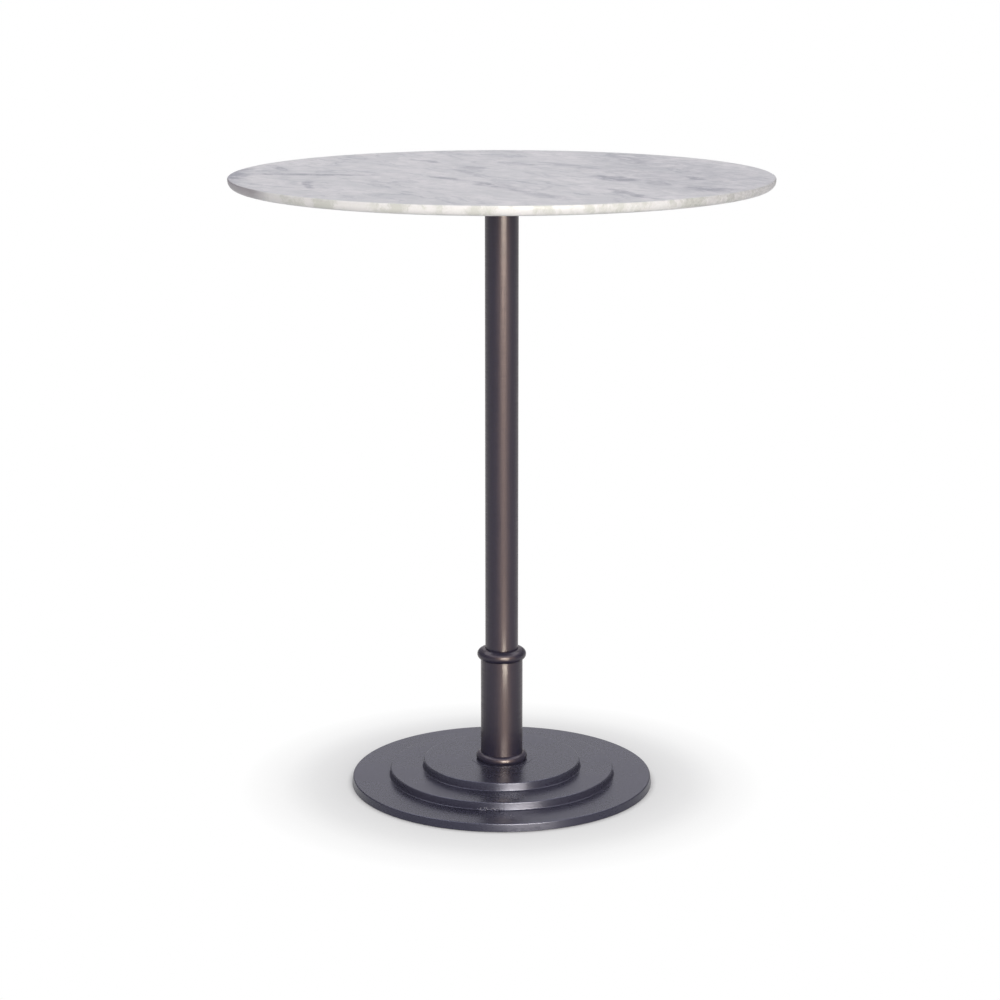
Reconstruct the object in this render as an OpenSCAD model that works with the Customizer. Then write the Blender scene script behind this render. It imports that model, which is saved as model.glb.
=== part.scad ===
// Bar-height pedestal table: round marble top, slim bronze-finished column with a collared
// sleeve, and a hollow three-stepped casting that stands on four levelling glides.
// The origin is on the floor under the middle of the column, and +Y points to the rear.

/* [Table] */
// Height from the floor to the upper face of the stone
table_h = 1066.8; // [900:0.1:1200]

/* [Marble top] */
// Diameter of the slab
top_d = 914.4; // [650:0.1:1100]
// Thickness of the slab
top_t = 17; // [16.5:0.5:30]
// Radius of the light arris round the upper edge
top_arris_r = 2.5; // [0.5:0.1:3]
// Radius of the larger round under the lower edge
top_under_r = 13; // [4:0.5:13.5]

/* [Spider under the top] */
// Number of arms
arm_count = 4; // [3:1:6]
// Distance from the axis to the outer screws
arm_reach = 235; // [180:1:290]
// Distance from the axis to the inner screws
inner_screw_reach = 118; // [80:1:150]
// Width of an arm at the hub
arm_root_w = 54; // [44:1:60]
// Width of an arm at its round tip
arm_tip_w = 34; // [28:1:44]
// Thickness of the flat plate of an arm
arm_plate_t = 6; // [4:0.5:10]
// Depth of the two edge ribs of an arm where they leave the hub
arm_root_depth = 30; // [16:1:34]
// Thickness of an edge rib
arm_rib_t = 5; // [3:0.5:8]
// Outer diameter of the hub at its upper face
hub_d = 84; // [78:1:100]
// Thickness of the web between the nut recess and the column socket
hub_web_t = 8; // [5:0.5:14]
// Depth of the socket that takes the column
socket_depth = 18; // [10:1:30]
// Thickness of the rubber strips between the arms and the stone
pad_t = 1.5; // [1:0.25:4]

/* [Screws and inserts in the stone] */
// Thread diameter of the screws
screw_d = 6; // [5:0.5:7]
// Length of thread that a screw has in its insert
screw_grip = 7.5; // [5:0.5:9.5]
// Diameter of a screw's pan head
screw_head_d = 12; // [10:0.5:13]
// Height of a screw's pan head
screw_head_h = 3.6; // [3:0.2:5]
// Outer diameter of a screw's washer
screw_washer_d = 14; // [13.5:0.5:18]
// Thickness of a screw's washer
screw_washer_t = 1.2; // [0.8:0.1:2]
// Outer diameter of a threaded insert
insert_d = 9.5; // [9:0.5:12]
// Length of a threaded insert
insert_len = 10; // [9.5:0.5:10.5]

/* [Tie rod] */
// Thread diameter of the rod
rod_d = 12; // [10:0.5:13]
// Width of a nut across its flats
nut_af = 19; // [17:0.5:22]
// Height of a nut
nut_h = 10; // [8:0.5:12]
// Outer diameter of the upper washer
upper_washer_d = 24; // [22:0.5:28]
// Thickness of the upper washer
upper_washer_t = 2.5; // [1.5:0.5:4]
// Outer diameter of the large lower washer
lower_washer_d = 44; // [30:1:56]
// Thickness of the large lower washer
lower_washer_t = 3; // [2:0.5:4]
// Length of thread that shows past a nut
rod_proud = 1.6; // [1:0.1:2.2]

/* [Column] */
// Outer diameter of the column tube
column_d = 57.15; // [50:0.05:60]
// Wall of the column tube
column_wall = 2.1; // [1.5:0.1:5]

/* [Sleeve and collar] */
// Outer diameter of the sleeve
sleeve_d = 73; // [70:0.5:78]
// Wall of the sleeve
sleeve_wall = 3; // [2:0.1:3.6]
// Length of the sleeve
sleeve_len = 181.5; // [100:0.5:400]
// How far the collar's bead stands out from the column
collar_bead_out = 13.9; // [11.5:0.1:18]
// Half the height of that bead, which is flatter than a half round
collar_bead_half_h = 10.9; // [8:0.1:14]
// Height of the hidden registers that keep the sleeve in line with the column
register_h = 7; // [4:0.5:12]

/* [Foot ring] */
// Radius of the foot ring's bead
foot_bead_r = 7.7; // [5:0.1:9]
// Height of the bead's middle above the base
foot_bead_mid = 4.4; // [3:0.1:5]
// Diameter of the machined seat on which it stands
foot_seat_d = 107; // [100:0.5:120]
// Rise of that seat over the upper tread
foot_seat_rise = 0.4; // [0.2:0.05:0.8]

/* [Stepped base] */
// Diameter of the lowest tier at its lower edge
tier_1_d = 526.7; // [500:0.1:600]
// Diameter of the middle tier at the foot of its wall
tier_2_d = 394.4; // [340:0.1:420]
// Diameter of the upper tier at the foot of its wall
tier_3_d = 277.4; // [240:0.1:320]
// Height of the lowest tier's tread above the floor
tier_1_h = 15; // [14:0.1:20]
// Rise of the middle tier
tier_2_h = 13.5; // [10:0.1:18]
// Rise of the upper tier
tier_3_h = 14.1; // [11:0.1:18]
// Gap between the floor and the rim, with the glides screwed in
rim_gap = 1; // [0.8:0.1:3]
// Draft of the tier walls in degrees
wall_draft = 7; // [2:0.5:10]
// Radius of the round on each tier's upper edge
edge_r = 2.2; // [1:0.1:4]
// Radius of the fillet at the foot of each wall
fillet_r = 1.6; // [0.8:0.1:3]
// Thickness of the casting
shell_t = 5.5; // [4:0.25:6]
// Thickness of a rib at its lower edge
rib_t = 5; // [3:0.5:8]
// Diameter of the middle hub at its lower face
base_hub_d = 68; // [60:1:80]
// Thickness of the casting through the middle hub
base_hub_depth = 23; // [18:0.5:25]

/* [Levelling glides] */
// Gap between a glide's foot and the inner side of the rim
glide_rim_gap = 12.85; // [8:0.05:40]
// Diameter of a glide's foot
glide_foot_d = 26; // [20:0.5:30]
// Height of a glide's foot
glide_foot_h = 5.3; // [5:0.1:6]
// Thread diameter of a glide's stem
glide_stem_d = 8; // [7:0.5:10]
// Diameter of the boss that takes a glide
glide_boss_d = 24; // [18:0.5:28]
// Thickness of metal left over a glide's blind hole
glide_skin_t = 2.4; // [1.5:0.1:3]

/* [Hidden] */
// Where the glides stand, counted from the rear right
GLIDE_PLACES = ["rear_right", "rear_left", "front_left", "front_right"];

$fn = 96;
// Steps in each rounded corner of an outline
arc_steps = 6;
// Far enough past a face to cut it cleanly
cut = 1;

// The arms and the glides stand on the diagonals
diagonal = 45;
glide_count = len(GLIDE_PLACES);

// Play between two pieces that are clamped or slipped together
fit_gap = 0.2;
// Play between a thread and its mate, and round a turning journal
thread_gap = 0.05;
// Play round a screw or rod in a clearance hole
hole_gap = 0.6;
// Gap between a glide's foot and its boss when the glide is screwed in
seat_gap = 0.3;
// Depth of a blind hole past the insert or stem in it
insert_hole_spare = 0.5;
stem_hole_spare = 0.4;
// Room beside and over the upper nut and its washer
recess_side_room = 3;
recess_cover = 1;
// How far the arms and the ribs of the base run into their hubs
arm_overlap = 8;
rib_overlap = 5;
// Lap from a hub's face to the start of the channel or slope beside it
hub_land = 2;
// How far the middle hub's machined face stands below the ribs beside it
hub_proud = 1;
// Growth in diameter of the middle hub, and in radius of a glide boss, from its face upward
hub_flare = 6;
boss_flare = 1;
// How much higher the light ribs end than the main ribs
light_rib_lift = 4;
// Steps in radius from a glide's stem to its pin and from the pin to its flange
pin_step = 1;
flange_step = 1.2;

// Finishes
stone = "#cfcac8";
bronze = "#5b5350";
cast_bronze = "#4a4547";
black_iron = "#2b2b2c";
zinc = "#b9bcc0";
brass = "#b5964f";
rubber = "#1f1f20";
nylon = "#262628";

// Radii worked out from the diameters
top_r = top_d / 2;
column_r = column_d / 2;
sleeve_r = sleeve_d / 2;
sleeve_bore_r = sleeve_r - sleeve_wall;
hub_r = hub_d / 2;
hub_draft = 2;
rod_hole_r = rod_d / 2 + hole_gap;
screw_hole_r = screw_d / 2 + hole_gap;
hex_r = nut_af / 2 / cos(30);

// Heights under the stone, from the top down
stone_under_z = table_h - top_t;
arm_top_z = stone_under_z - pad_t;
arm_under_z = arm_top_z - arm_plate_t;
insert_hole_depth = insert_len + insert_hole_spare;
recess_r = upper_washer_d / 2 + recess_side_room;
recess_floor_z = arm_top_z - upper_washer_t - nut_h - rod_proud - recess_cover;
column_top_z = recess_floor_z - hub_web_t;
hub_under_z = column_top_z - socket_depth;

// Heights of the base, from the floor up
tread_1_z = tier_1_h;
tread_2_z = tread_1_z + tier_2_h;
tread_3_z = tread_2_z + tier_3_h;
base_top_z = tread_3_z + foot_seat_rise;
base_hub_z = base_top_z - base_hub_depth;

// Tie rod, from the thread past the lower nut to the thread past the upper nut
rod_low_z = base_hub_z - lower_washer_t - nut_h - rod_proud;
rod_high_z = recess_floor_z + upper_washer_t + nut_h + rod_proud;

// The collar's bead is half an oval, centred on the column's surface, that is cut off where it
// meets the sleeve's upper end
collar_bore_r = column_r + fit_gap;
collar_seat_z = base_top_z + sleeve_len;
collar_seat_angle = acos((sleeve_r - collar_bore_r) / collar_bead_out);
collar_mid_z = collar_seat_z + collar_bead_half_h * sin(collar_seat_angle);

// Glides: the foot under its boss, and the stem up in its blind hole
glide_boss_z = glide_foot_h + seat_gap;
glide_hole_top_z = tread_1_z - glide_skin_t;
glide_stem_top_z = glide_hole_top_z - stem_hole_spare;
glide_pin_r = glide_stem_d / 2 - pin_step;
glide_flange_r = glide_pin_r + flange_step;
glide_reach = tier_1_d / 2 - shell_t - glide_foot_d / 2 - glide_rim_gap;
glide_flange_z = 1.4;
glide_flange_t = 1.2;

// A polygon's corner p between its neighbours a and b, rounded with radius r
function unit(v) = v / norm(v);
function rounded_corner(a, p, b, r) =
    let (u = unit(a - p), v = unit(b - p),
         half = acos(u * v) / 2,
         centre = p + unit(u + v) * r / sin(half),
         from = p + u * r / tan(half) - centre,
         to = p + v * r / tan(half) - centre,
         turn = 180 - 2 * half)
    [for (i = [0 : arc_steps])
        let (t = i / arc_steps)
        centre + (from * sin((1 - t) * turn) + to * sin(t * turn)) / sin(turn)];

// An outline from corners given as [x, y, radius]
function outline(corners) =
    let (n = len(corners), at = [for (c = corners) [c[0], c[1]]])
    [for (i = [0 : n - 1])
        for (p = corners[i][2] == 0 ? [at[i]]
                 : rounded_corner(at[(i + n - 1) % n], at[i], at[(i + 1) % n], corners[i][2]))
            p];

// Radius of a tier's wall at height z, for a wall that starts at foot_z with radius foot_r
function wall_r(foot_r, foot_z, z) = foot_r - (z - foot_z) * tan(wall_draft);

// Places a child at both screws of every arm
module at_each_screw() {
    for (i = [0 : arm_count - 1])
        for (reach = [inner_screw_reach, arm_reach])
            rotate([0, 0, diagonal + i * 360 / arm_count])
                translate([reach, 0, 0])
                    children();
}

// A flat washer or a plain ring standing on z = 0
module ring(outer_d, inner_d, h) {
    difference() {
        cylinder(d = outer_d, h = h);
        translate([0, 0, -cut])
            cylinder(d = inner_d, h = h + 2 * cut);
    }
}

// A hexagon nut standing on z = 0
module hex_nut() {
    difference() {
        cylinder(r = hex_r, h = nut_h, $fn = 6);
        translate([0, 0, -cut])
            cylinder(d = rod_d + 2 * thread_gap, h = nut_h + 2 * cut);
    }
}

// The slab: a light arris above, a larger round below, and blind holes for the inserts
module marble_top() {
    color(stone)
        difference() {
            rotate_extrude()
                polygon(outline([
                    [0, stone_under_z, 0],
                    [top_r, stone_under_z, top_under_r],
                    [top_r, table_h, top_arris_r],
                    [0, table_h, 0]]));
            at_each_screw()
                translate([0, 0, stone_under_z - cut])
                    cylinder(d = insert_d + 2 * thread_gap, h = insert_hole_depth + cut);
        }
}

module threaded_inserts() {
    color(brass)
        at_each_screw()
            translate([0, 0, stone_under_z])
                ring(insert_d, screw_d + 2 * thread_gap, insert_len);
}

// Plan of an arm, drawn along +X, with its sides drawn in by inset
module arm_plan(from_r, inset) {
    polygon([
        [from_r, inset - arm_root_w / 2],
        [arm_reach, inset - arm_tip_w / 2],
        [arm_reach, arm_tip_w / 2 - inset],
        [from_r, arm_root_w / 2 - inset]]);
    translate([arm_reach, 0])
        circle(r = arm_tip_w / 2 - inset);
}

// One arm: a flat plate with a tapering rib along each edge, fading out before the tip
module spider_arm() {
    fade = 6;
    root_r = hub_r - arm_overlap;
    rib_end_r = arm_reach - arm_tip_w / 2 - fade;
    difference() {
        intersection() {
            translate([0, 0, arm_top_z - arm_root_depth])
                linear_extrude(arm_root_depth)
                    arm_plan(root_r, 0);
            rotate([90, 0, 0])
                linear_extrude(2 * arm_root_w, center = true)
                    polygon([
                        [root_r - cut, arm_top_z],
                        [root_r - cut, arm_top_z - arm_root_depth],
                        [hub_r, arm_top_z - arm_root_depth],
                        [rib_end_r, arm_under_z],
                        [arm_reach + arm_tip_w, arm_under_z],
                        [arm_reach + arm_tip_w, arm_top_z]]);
        }
        translate([0, 0, arm_under_z - arm_root_depth])
            linear_extrude(arm_root_depth)
                polygon([
                    [hub_r + hub_land, arm_rib_t - arm_root_w / 2],
                    [rib_end_r, arm_rib_t - arm_tip_w / 2],
                    [rib_end_r, arm_tip_w / 2 - arm_rib_t],
                    [hub_r + hub_land, arm_root_w / 2 - arm_rib_t]]);
    }
}

// The hub: a recess for the nut above, a socket for the column below, and a web between
module spider_hub() {
    rotate_extrude()
        polygon([
            [rod_hole_r, column_top_z],
            [column_r + fit_gap, column_top_z],
            [column_r + fit_gap, hub_under_z],
            [hub_r - hub_draft, hub_under_z],
            [hub_r, arm_top_z],
            [recess_r, arm_top_z],
            [recess_r, recess_floor_z],
            [rod_hole_r, recess_floor_z]]);
}

module top_spider() {
    color(black_iron)
        difference() {
            union() {
                spider_hub();
                for (i = [0 : arm_count - 1])
                    rotate([0, 0, diagonal + i * 360 / arm_count])
                        spider_arm();
            }
            at_each_screw()
                translate([0, 0, arm_under_z - cut])
                    cylinder(r = screw_hole_r, h = arm_plate_t + 2 * cut);
        }
}

module arm_pads() {
    hub_clear = 4;
    edge_inset = 2;
    color(rubber)
        difference() {
            for (i = [0 : arm_count - 1])
                rotate([0, 0, diagonal + i * 360 / arm_count])
                    translate([0, 0, arm_top_z])
                        linear_extrude(pad_t)
                            arm_plan(hub_r + hub_clear, edge_inset);
            at_each_screw()
                translate([0, 0, arm_top_z - cut])
                    cylinder(r = screw_hole_r, h = pad_t + 2 * cut);
        }
}

module spider_washers() {
    color(zinc)
        at_each_screw()
            translate([0, 0, arm_under_z - screw_washer_t])
                ring(screw_washer_d, screw_d + hole_gap, screw_washer_t);
}

// Pan-head screws up through washer, arm and pad into the inserts, with a hexagon socket
module spider_screws() {
    head_z = arm_under_z - screw_washer_t - screw_head_h;
    socket_share = 0.38;
    depth_share = 0.6;
    socket_r = screw_d * socket_share;
    socket_h = screw_head_h * depth_share;
    color(zinc)
        at_each_screw()
            difference() {
                union() {
                    translate([0, 0, head_z])
                        rotate_extrude()
                            polygon(outline([
                                [0, 0, 0],
                                [screw_head_d / 2, 0, screw_head_h / 2],
                                [screw_head_d / 2, screw_head_h, 0],
                                [0, screw_head_h, 0]]));
                    translate([0, 0, head_z + screw_head_h - cut])
                        cylinder(d = screw_d, h = stone_under_z + screw_grip
                                                   - head_z - screw_head_h + cut);
                }
                translate([0, 0, head_z - cut])
                    cylinder(r = socket_r, h = socket_h + cut, $fn = 6);
            }
}

module upper_washer() {
    color(zinc)
        translate([0, 0, recess_floor_z])
            ring(upper_washer_d, rod_d + hole_gap, upper_washer_t);
}

module upper_nut() {
    color(zinc)
        translate([0, 0, recess_floor_z + upper_washer_t])
            hex_nut();
}

// Threaded rod through spider, column and base, with a chamfer at each end
module tie_rod() {
    chamfer = 1;
    rod_r = rod_d / 2;
    color(zinc)
        rotate_extrude()
            polygon([
                [0, rod_low_z],
                [rod_r - chamfer, rod_low_z],
                [rod_r, rod_low_z + chamfer],
                [rod_r, rod_high_z - chamfer],
                [rod_r - chamfer, rod_high_z],
                [0, rod_high_z]]);
}

module column_tube() {
    color(bronze)
        translate([0, 0, base_top_z])
            ring(column_d, column_d - 2 * column_wall, column_top_z - base_top_z);
}

module sleeve_tube() {
    color(bronze)
        translate([0, 0, base_top_z])
            ring(sleeve_d, sleeve_d - 2 * sleeve_wall, sleeve_len);
}

// Flattened bead that sits on the sleeve, with a register down inside it
module collar_ring() {
    bead_steps = 36;
    register_r = sleeve_bore_r - fit_gap;
    color(bronze)
        rotate_extrude()
            polygon(concat(
                [for (i = [0 : bead_steps])
                    let (a = (90 + collar_seat_angle) * i / bead_steps - collar_seat_angle)
                    [collar_bore_r + collar_bead_out * cos(a),
                     collar_mid_z + collar_bead_half_h * sin(a)]],
                [[collar_bore_r, collar_seat_z - register_h],
                 [register_r, collar_seat_z - register_h],
                 [register_r, collar_seat_z]]));
}

// Bead round the foot of the sleeve, cut off flat where it stands on the base
module foot_ring() {
    bore_r = sleeve_r + fit_gap;
    color(bronze)
        rotate_extrude()
            intersection() {
                translate([bore_r, base_top_z + foot_bead_mid])
                    circle(r = foot_bead_r);
                translate([bore_r, base_top_z])
                    square(2 * foot_bead_r);
            }
}

// Outer shape of the casting: three drafted walls with rounded edges and filleted feet, the
// seat of the foot ring and the raised register between the column and the sleeve
module base_outside() {
    seat_r = foot_seat_d / 2;
    seat_foot_r = seat_r + foot_seat_rise / 2;
    r1 = tier_1_d / 2;
    r2 = tier_2_d / 2;
    r3 = tier_3_d / 2;
    rotate_extrude()
        polygon(outline([
            [0, rim_gap, 0],
            [r1, rim_gap, 0],
            [wall_r(r1, rim_gap, tread_1_z), tread_1_z, edge_r],
            [r2, tread_1_z, fillet_r],
            [wall_r(r2, tread_1_z, tread_2_z), tread_2_z, edge_r],
            [r3, tread_2_z, fillet_r],
            [wall_r(r3, tread_2_z, tread_3_z), tread_3_z, edge_r],
            [seat_foot_r, tread_3_z, 0],
            [seat_r, base_top_z, 0],
            [sleeve_bore_r - fit_gap, base_top_z, 0],
            [sleeve_bore_r - fit_gap, base_top_z + register_h, 0],
            [column_r + fit_gap, base_top_z + register_h, 0],
            [column_r + fit_gap, base_top_z, 0],
            [0, base_top_z, 0]]));
}

// The hollow under the casting, which follows the steps at one thickness
module base_hollow() {
    r1 = tier_1_d / 2 - shell_t;
    r2 = tier_2_d / 2 - shell_t;
    r3 = tier_3_d / 2 - shell_t;
    ceiling_1 = tread_1_z - shell_t;
    ceiling_2 = tread_2_z - shell_t;
    ceiling_3 = tread_3_z - shell_t;
    rotate_extrude()
        polygon([
            [0, rim_gap - cut],
            [r1, rim_gap - cut],
            [wall_r(r1, rim_gap, ceiling_1), ceiling_1],
            [wall_r(r2, tread_1_z, ceiling_1), ceiling_1],
            [wall_r(r2, tread_1_z, ceiling_2), ceiling_2],
            [wall_r(r3, tread_2_z, ceiling_2), ceiling_2],
            [wall_r(r3, tread_2_z, ceiling_3), ceiling_3],
            [0, ceiling_3]]);
}

// A drafted rib along +X, whose lower edge falls from just over the hub's face to low_z
module base_rib(to_r, low_z) {
    from_r = base_hub_d / 2 - rib_overlap;
    slope_end_r = tier_3_d / 2 - shell_t;
    root_t = rib_t + 2 * (base_top_z - low_z) * tan(wall_draft / 2);
    intersection() {
        rotate([90, 0, 90])
            translate([0, 0, from_r])
                linear_extrude(to_r - from_r)
                    polygon([
                        [-rib_t / 2, low_z],
                        [rib_t / 2, low_z],
                        [root_t / 2, base_top_z],
                        [-root_t / 2, base_top_z]]);
        rotate([90, 0, 0])
            linear_extrude(4 * root_t, center = true)
                polygon([
                    [from_r - cut, base_top_z + cut],
                    [from_r - cut, base_hub_z + hub_proud],
                    [base_hub_d / 2 + hub_land, base_hub_z + hub_proud],
                    [slope_end_r, low_z],
                    [to_r + cut, low_z],
                    [to_r + cut, base_top_z + cut]]);
    }
}

// What is left standing in the hollow: the hub, eight ribs and the glide bosses
module base_stiffeners() {
    boss_r = glide_boss_d / 2;
    translate([0, 0, base_hub_z])
        cylinder(d1 = base_hub_d, d2 = base_hub_d + hub_flare, h = base_hub_depth);
    for (i = [0 : glide_count - 1])
        rotate([0, 0, diagonal + i * 360 / glide_count]) {
            base_rib(tier_1_d / 2 - shell_t, glide_boss_z);
            translate([glide_reach, 0, glide_boss_z])
                cylinder(r1 = boss_r, r2 = boss_r + boss_flare, h = tread_1_z - glide_boss_z);
            rotate([0, 0, diagonal])
                base_rib(tier_2_d / 2, glide_boss_z + light_rib_lift);
        }
}

module base_casting() {
    color(cast_bronze)
        difference() {
            base_outside();
            difference() {
                base_hollow();
                base_stiffeners();
            }
            translate([0, 0, base_hub_z - cut])
                cylinder(r = rod_hole_r, h = base_hub_depth + 2 * cut);
            for (i = [0 : glide_count - 1])
                rotate([0, 0, diagonal + i * 360 / glide_count])
                    translate([glide_reach, 0, glide_boss_z - cut])
                        cylinder(r = glide_stem_d / 2 + thread_gap,
                                 h = glide_hole_top_z - glide_boss_z + cut);
        }
}

module lower_washer() {
    color(zinc)
        translate([0, 0, base_hub_z - lower_washer_t])
            ring(lower_washer_d, rod_d + hole_gap, lower_washer_t);
}

module lower_nut() {
    color(zinc)
        translate([0, 0, base_hub_z - lower_washer_t - nut_h])
            hex_nut();
}

module at_glide(i) {
    rotate([0, 0, diagonal + i * 360 / glide_count])
        translate([glide_reach, 0, 0])
            children();
}

// A moulded foot with a stepped socket that holds the stem's flange and lets it turn
module glide_foot() {
    foot_r = glide_foot_d / 2;
    neck_r = glide_pin_r + thread_gap;
    pocket_r = glide_flange_r + thread_gap;
    pocket_z = glide_flange_z - thread_gap;
    pocket_top_z = glide_flange_z + glide_flange_t + thread_gap;
    crown_w = 3.4;
    crown_r = glide_pin_r + crown_w;
    crown_edge_r = 0.5;
    crown_flare = 0.6;
    skirt_z = 2;
    skirt_rise = 1;
    sole_edge_r = 0.8;
    rotate_extrude()
        polygon(outline([
            [0, 0, 0],
            [foot_r, 0, sole_edge_r],
            [foot_r, skirt_z, 0],
            [crown_r + crown_flare, skirt_z + skirt_rise, 0],
            [crown_r, glide_foot_h, crown_edge_r],
            [neck_r, glide_foot_h, 0],
            [neck_r, pocket_top_z, 0],
            [pocket_r, pocket_top_z, 0],
            [pocket_r, pocket_z, 0],
            [0, pocket_z, 0]]));
}

// A stem with a turning flange below, a shoulder on the foot and a threaded shank above
module glide_stem() {
    stem_r = glide_stem_d / 2;
    shoulder_z = glide_foot_h + thread_gap;
    chamfer = 0.7;
    rotate_extrude()
        polygon([
            [0, glide_flange_z],
            [glide_flange_r, glide_flange_z],
            [glide_flange_r, glide_flange_z + glide_flange_t],
            [glide_pin_r, glide_flange_z + glide_flange_t],
            [glide_pin_r, shoulder_z],
            [stem_r, shoulder_z],
            [stem_r, glide_stem_top_z - chamfer],
            [stem_r - chamfer, glide_stem_top_z],
            [0, glide_stem_top_z]]);
}

marble_top();
threaded_inserts();
arm_pads();
top_spider();
spider_screws();
spider_washers();
upper_nut();
upper_washer();
tie_rod();
column_tube();
collar_ring();
sleeve_tube();
foot_ring();
base_casting();
lower_washer();
lower_nut();
for (i = [0 : glide_count - 1]) {
    color(nylon) at_glide(i) glide_foot();
    color(zinc) at_glide(i) glide_stem();
}
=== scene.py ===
# %% [markdown]
# # A marble bar table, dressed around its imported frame
# The table is a round marble slab on a slim bronze-lacquered column, with a collared sleeve,
# a small foot ring and a round stepped iron base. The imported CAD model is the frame: every
# piece made here stands exactly where its CAD node stands, so nothing is fitted by eye.

# %% Load the frame
from math import acos, asin, ceil, cos, degrees, pi, radians, sin, sqrt, tan
from random import Random

import bpy
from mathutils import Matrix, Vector


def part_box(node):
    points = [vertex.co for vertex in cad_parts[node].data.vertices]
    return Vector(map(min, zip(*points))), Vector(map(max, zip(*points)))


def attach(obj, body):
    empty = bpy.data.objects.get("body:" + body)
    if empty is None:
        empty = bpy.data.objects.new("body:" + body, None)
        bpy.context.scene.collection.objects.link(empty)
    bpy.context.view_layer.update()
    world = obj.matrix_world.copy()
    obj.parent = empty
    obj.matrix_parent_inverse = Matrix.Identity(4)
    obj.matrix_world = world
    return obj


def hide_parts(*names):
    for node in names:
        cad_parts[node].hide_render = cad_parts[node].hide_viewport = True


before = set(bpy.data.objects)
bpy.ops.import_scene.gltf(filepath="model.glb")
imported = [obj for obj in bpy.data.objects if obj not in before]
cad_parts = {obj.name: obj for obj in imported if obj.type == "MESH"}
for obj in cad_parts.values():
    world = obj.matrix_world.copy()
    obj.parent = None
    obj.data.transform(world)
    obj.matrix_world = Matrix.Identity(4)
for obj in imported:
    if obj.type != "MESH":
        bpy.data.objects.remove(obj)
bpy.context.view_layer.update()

MM = 0.001

# %% [markdown]
# ## The camera
# A long lens a little above the table, tilted down 13 degrees. It was solved from the edges of
# the slab and of the base's steps, so the ellipses in the render have the photograph's shape.

# %% Camera
LENS_MM = 91.69
SENSOR_MM = 36
EYE = (-0.003, -4.275, 1.497)
TILT_DOWN = 13.02

bpy.ops.object.camera_add(location=EYE, rotation=(radians(90 - TILT_DOWN), 0, 0))
camera = bpy.context.object
camera.name = "camera"
camera.data.lens = LENS_MM
camera.data.sensor_width = SENSOR_MM
bpy.context.scene.camera = camera
bpy.context.scene.view_settings.view_transform = "Standard"
print("camera", round(-EYE[1], 3), "m in front and", EYE[2], "m up")

# %% [markdown]
# ## Colours and nodes
# Colours are picked as sRGB hex codes, the way a paint chart gives them, and one function turns
# them into the linear values that shaders work in. A second small function adds any node, with
# its settings and its links, so that a material reads like a list of what it is made of. The
# patterns take their size in metres.

# %% Helpers for materials


def linear(hex_code):
    """An sRGB colour such as "#cfcac8" as the linear colour that a shader takes."""
    shares = [int(hex_code[i : i + 2], 16) / 255 for i in (1, 3, 5)]
    curved = [s / 12.92 if s <= 0.04045 else ((s + 0.055) / 1.055) ** 2.4 for s in shares]
    return (*curved, 1)


def add(tree, kind, inputs=None, stops=None, **settings):
    """Adds a node. Inputs are values or the outputs of other nodes, and stops fill a ramp."""
    node = tree.nodes.new("ShaderNode" + kind)
    for name, value in settings.items():
        setattr(node, name, value)
    for key, value in (inputs or {}).items():
        if isinstance(value, bpy.types.NodeSocket):
            tree.links.new(value, node.inputs[key])
        else:
            node.inputs[key].default_value = value
    for i, (place, colour) in enumerate(stops or []):
        ramp = node.color_ramp.elements
        stop = ramp[i] if i < 2 else ramp.new(place)
        stop.position = place
        stop.color = colour if isinstance(colour, tuple) else (colour, colour, colour, 1)
    return node


def mixed(tree, factor, first, second, **settings):
    """Two colours, given as hex codes or outputs, mixed by a factor."""
    first, second = [linear(c) if isinstance(c, str) else c for c in (first, second)]
    return add(tree, "Mix", {"Factor": factor, 6: first, 7: second}, data_type="RGBA",
               **settings).outputs[2]


def sized(tree, vector, size, turn=0):
    """Coordinates in which 1 stands for a size in metres, turned about the Z axis."""
    return add(tree, "Mapping", {"Vector": vector, "Rotation": (0, 0, turn), "Scale": size},
               vector_type="TEXTURE").outputs[0]


def noise(tree, vector, size, detail, turn=0, roughness=0.5):
    """The outputs of a noise whose forms have a size in metres."""
    return add(tree, "TexNoise", {"Vector": sized(tree, vector, size, turn), "Scale": 1,
                                  "Detail": detail, "Roughness": roughness}).outputs


def cells(tree, vector, size):
    """The outputs of cells of a size in metres, such as crystals or grains of sand."""
    return add(tree, "TexVoronoi", {"Vector": sized(tree, vector, size), "Scale": 1}).outputs


def new_finish(name, **look):
    """A material with one principled shader, whose even values are set on its own sockets."""
    material = bpy.data.materials.new(name)
    material.use_nodes = True
    tree = material.node_tree
    tree.nodes.clear()
    look = {key.replace("_", " ").title(): value for key, value in look.items()}
    look = {key.replace("Ior", "IOR"): value for key, value in look.items()}
    shader = add(tree, "BsdfPrincipled", look)
    add(tree, "OutputMaterial", {"Surface": shader.outputs[0]})
    return material, tree, shader


# %% [markdown]
# ## Marble
# The stone is a white Carrara-type marble, sawn from a block and given a soft polish that
# mirrors weakly. Its grey veins are sheets of other minerals that cut right through the block,
# so the pattern has to be a solid one, in all three directions: then it runs over the arris
# and down the rim by itself.
# Long soft streaks lie along one bedding direction, thin veins wander through them, and a few
# larger veins are placed one by one, where they show on the real slab. A blank image of
# stone would have been quicker, but it would stretch on the rim.

# %% Marble
BEDDING = radians(-62)
marble, tree, stone = new_finish("polished white marble", roughness=0.4, ior=1.5,
                                specular_ior_level=0.18)
spot = add(tree, "TexCoord").outputs["Object"]

# Slow sway of the bedding, about 260 mm from bend to bend, and a quick one that frays it
swayed = spot
for size, detail, roughness, push in ((0.26, 3, 0.5, 0.045), (0.045, 5, 0.65, 0.04)):
    sway = noise(tree, spot, (size,) * 3, detail, roughness=roughness)
    swayed = add(tree, "VectorMath", {0: sway["Color"], 1: (push,) * 3, 2: swayed},
                 operation="MULTIPLY_ADD").outputs[0]
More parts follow.
